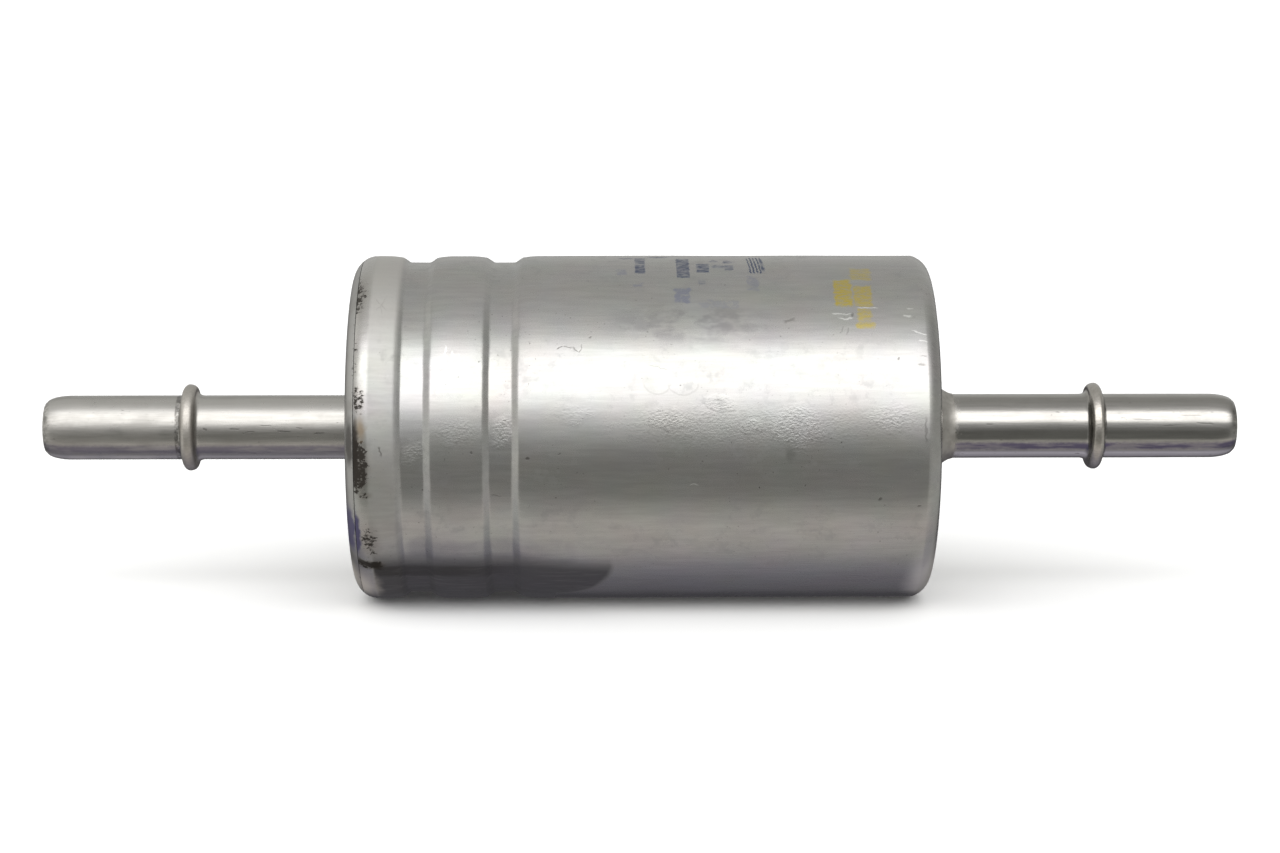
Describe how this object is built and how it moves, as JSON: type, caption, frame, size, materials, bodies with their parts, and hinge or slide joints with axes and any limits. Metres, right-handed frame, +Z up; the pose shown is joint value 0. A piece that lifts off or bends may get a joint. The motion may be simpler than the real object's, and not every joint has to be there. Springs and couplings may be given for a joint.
{
  "type": "in-line fuel filter",
  "caption": "In-line fuel filter: a plain drawn aluminium can with rolled locking grooves at the inlet end and a beaded quick-connect spigot on each end, pleated paper element inside.",
  "frame": {"origin": "on the filter's axis, half way along the overall length", "axes": "+X along the axis from the inlet cover to the outlet spigot, +Z up as it lies on its side"},
  "size_m": [0.176, 0.0504, 0.0504],
  "materials": {
    "can_aluminium": "satin, drawn, lightly scratched",
    "cover_aluminium": "satin, dirty at the crevice",
    "spigot_aluminium": "satin, drawn tube",
    "braze_metal": "matte",
    "spring_steel": "satin",
    "tin_plate": "bright",
    "seal_rubber": "matte",
    "nylon": "matte",
    "plastisol": "matte",
    "filter_paper": "matte, creped"
  },
  "bodies": {
    "root": {"housing_can": "can_aluminium", "inlet_cover": "cover_aluminium", "cover_o_ring": "seal_rubber", "cover_backup_ring": "nylon", "inlet_spigot": "spigot_aluminium", "outlet_spigot": "spigot_aluminium", "inlet_braze_ring": "braze_metal", "outlet_braze_ring": "braze_metal", "element_spring": "spring_steel", "spring_seat": "spring_steel", "closed_end_disc": "tin_plate", "open_end_disc": "tin_plate", "closed_end_potting": "plastisol", "open_end_potting": "plastisol", "pleated_media": "filter_paper", "media_seam_clip": "tin_plate", "pleat_spacer_1": "nylon", "pleat_spacer_2": "nylon", "pleat_spacer_3": "nylon", "core_tube": "tin_plate", "outlet_grommet": "seal_rubber", "element_locator": "nylon"}
  },
  "joints": []
}
